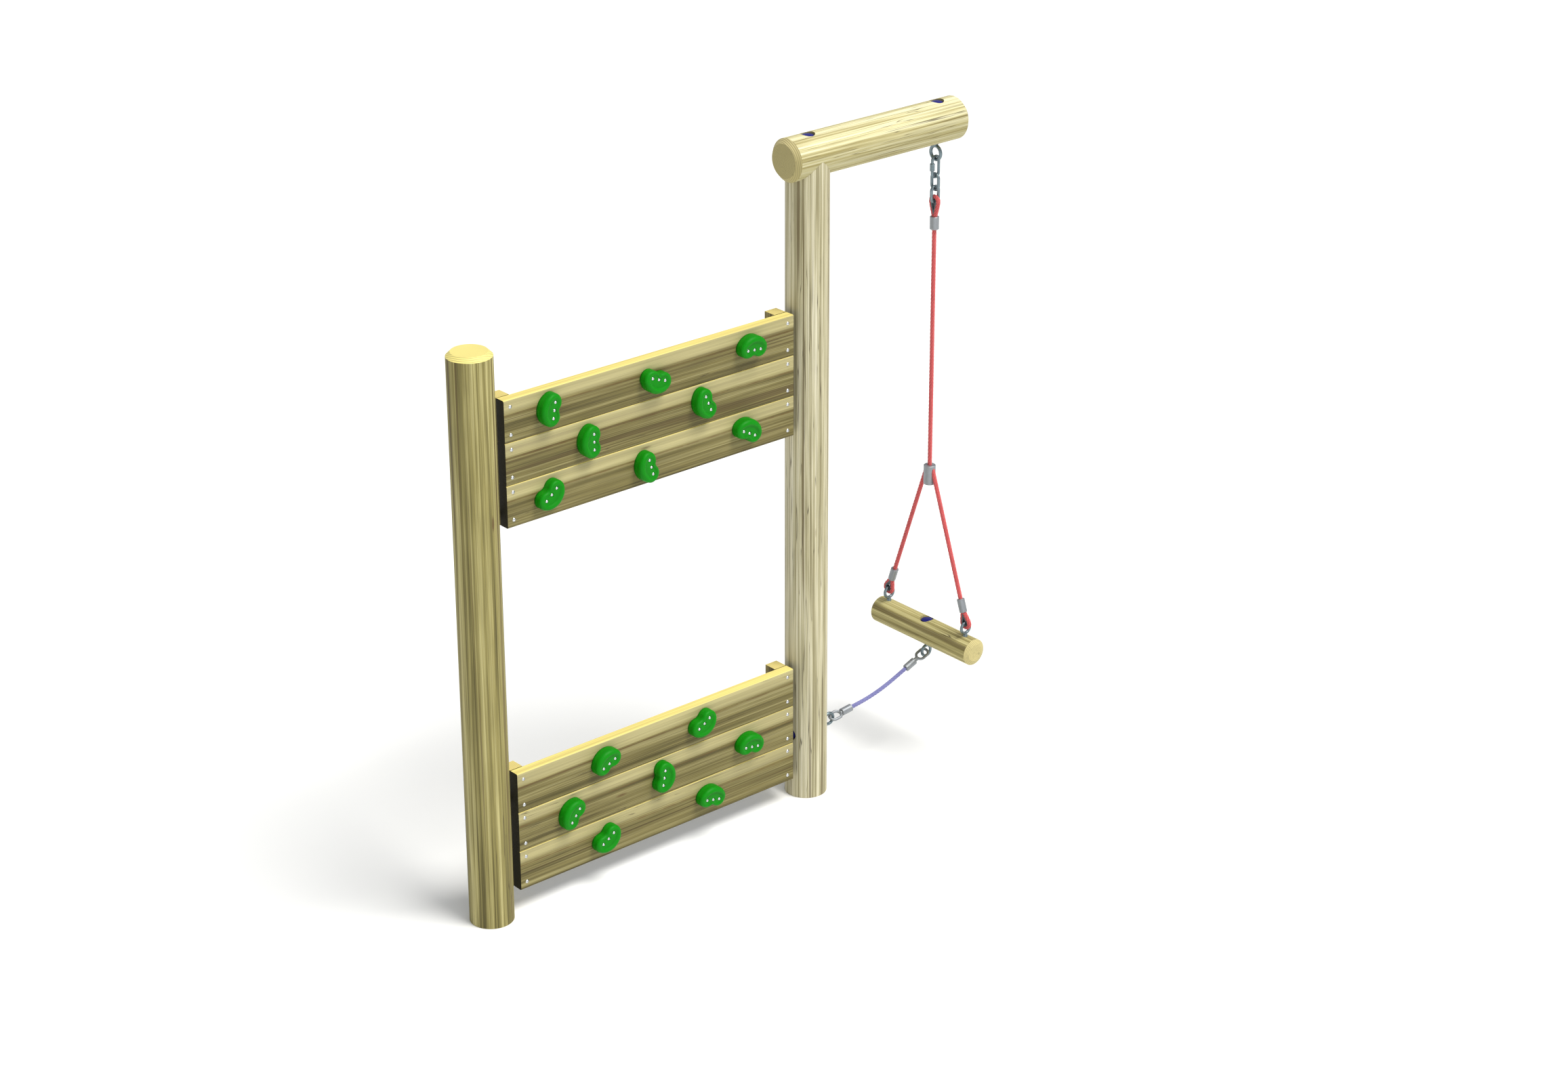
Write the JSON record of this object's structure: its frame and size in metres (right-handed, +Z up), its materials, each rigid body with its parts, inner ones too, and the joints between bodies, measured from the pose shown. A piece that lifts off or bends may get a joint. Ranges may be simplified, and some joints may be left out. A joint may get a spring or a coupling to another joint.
{
  "type": "climbing traverse wall with trapeze",
  "caption": "Playground traverse wall: round timber posts, plank panels with climbing holds, and a cantilever beam with a tethered rope trapeze.",
  "frame": {"origin": "centre of the tall post's foot, at ground level", "axes": "+X away from the short post, along the wall and the beam; +Y behind the climbing face; +Z up"},
  "size_m": [2.1428, 0.51, 2.435],
  "materials": {
    "post_timber": "sawn-smooth preservative-treated softwood",
    "beam_timber": "pale turned softwood with long checks",
    "bar_timber": "turned softwood",
    "plank_timber": "planed boards with rounded arrises",
    "batten_timber": "planed square batten",
    "hold_plastic": "moulded, fine texture",
    "red_rope": "laid polyester strands",
    "blue_rope": "laid polyester strands",
    "cap_plastic": "moulded cap",
    "ferrule_alloy": "pressed, matte",
    "thimble_steel": "dark zinc",
    "screw_steel": "bright stainless",
    "galvanised_steel": "hot-dip galvanised"
  },
  "bodies": {
    "frame": {"beam_coach_screw": "galvanised_steel", "beam_eye_bolt": "galvanised_steel", "cross_beam": "beam_timber", "eye_bolt_nuts": "galvanised_steel", "hold_screws": "screw_steel", "lower_batten_left": "batten_timber", "lower_batten_right": "batten_timber", "lower_hold_1": "hold_plastic", "lower_hold_2": "hold_plastic", "lower_hold_3": "hold_plastic", "lower_hold_4": "hold_plastic", "lower_hold_5": "hold_plastic", "lower_hold_6": "hold_plastic", "lower_hold_7": "hold_plastic", "lower_plank_bottom": "plank_timber", "lower_plank_middle": "plank_timber", "lower_plank_top": "plank_timber", "panel_bolt_nuts": "screw_steel", "panel_bolt_spacers": "galvanised_steel", "panel_bolt_washers": "screw_steel", "panel_bolts": "screw_steel", "plank_screws": "screw_steel", "post_eye_bolt": "galvanised_steel", "recess_caps": "cap_plastic", "recess_washers": "galvanised_steel", "short_post": "post_timber", "tall_post": "post_timber", "upper_batten_left": "batten_timber", "upper_batten_right": "batten_timber", "upper_hold_1": "hold_plastic", "upper_hold_2": "hold_plastic", "upper_hold_3": "hold_plastic", "upper_hold_4": "hold_plastic", "upper_hold_5": "hold_plastic", "upper_hold_6": "hold_plastic", "upper_hold_7": "hold_plastic", "upper_hold_8": "hold_plastic", "upper_plank_bottom": "plank_timber", "upper_plank_middle": "plank_timber", "upper_plank_top": "plank_timber"},
    "quick_link": {"quick_link": "galvanised_steel"},
    "quick_link_sleeve": {"quick_link_sleeve": "galvanised_steel"},
    "chain_link_upper": {"chain_link_upper": "galvanised_steel"},
    "chain_link_lower": {"chain_link_lower": "galvanised_steel"},
    "trapeze_rope": {"main_rope": "red_rope", "leg_rope_near": "red_rope", "leg_rope_far": "red_rope", "rope_thimbles": "thimble_steel", "rope_ferrules": "ferrule_alloy", "rope_y_ferrule": "ferrule_alloy"},
    "trapeze_bar": {"trapeze_bar": "bar_timber", "bar_eye_bolts": "galvanised_steel", "bar_eye_washers": "galvanised_steel", "bar_eye_nuts": "galvanised_steel", "bar_cap": "cap_plastic"},
    "tether_lower": {"tether_lower_fitting": "ferrule_alloy"},
    "tether_rope_low": {"tether_rope_lower": "blue_rope"},
    "tether_rope_up": {"tether_rope_upper": "blue_rope", "tether_upper_fitting": "ferrule_alloy"}
  },
  "joints": [
    {"name": "fore_aft_swing", "type": "hinge", "parent": "frame", "child": "quick_link", "pos_m": [0.583, 0, 2.226], "axis": [0, 1, 0], "range_deg": [-0.2, 1]},
    {"name": "sleeve_travel", "type": "slide", "parent": "quick_link", "child": "quick_link_sleeve", "axis": [0, 0, 1], "range_m": [0, 0.008]},
    {"name": "side_swing", "type": "hinge", "parent": "quick_link", "child": "chain_link_upper", "pos_m": [0.583, 0, 2.1634], "axis": [1, 0, 0], "range_deg": [-0.4, 0.4]},
    {"name": "chain_twist", "type": "hinge", "parent": "chain_link_upper", "child": "chain_link_lower", "pos_m": [0.583, 0, 2.124], "axis": [0, 0, 1], "range_deg": [-2, 2]},
    {"name": "rope_twist", "type": "hinge", "parent": "chain_link_lower", "child": "trapeze_rope", "pos_m": [0.583, 0, 2.0737], "axis": [0, 0, 1], "range_deg": [-2, 2]},
    {"name": "bar_rock", "type": "hinge", "parent": "trapeze_rope", "child": "trapeze_bar", "pos_m": [0.583, 0, 0.5475], "axis": [0, 1, 0], "range_deg": [-1, 1]},
    {"name": "tether_pitch", "type": "hinge", "parent": "frame", "child": "tether_lower", "pos_m": [0.1285, 0, 0.243], "axis": [0, 1, 0], "range_deg": [-3.43, 16.87]},
    {"name": "tether_yaw", "type": "hinge", "parent": "tether_lower", "child": "tether_rope_low", "pos_m": [0.216, 0, 0.2525], "axis": [0, 0, 1], "range_deg": [-2.48, 2.48]},
    {"name": "tether_fold", "type": "hinge", "parent": "tether_rope_low", "child": "tether_rope_up", "pos_m": [0.352, 0, 0.2753], "axis": [0, 1, 0], "range_deg": [-34.04, 6.97]}
  ],
  "couplings": [
    {"joint": "tether_pitch", "follows": "fore_aft_swing", "ratio": 16.666},
    {"joint": "tether_fold", "follows": "fore_aft_swing", "ratio": -33.835},
    {"joint": "tether_yaw", "follows": "side_swing", "ratio": 5.7}
  ]
}
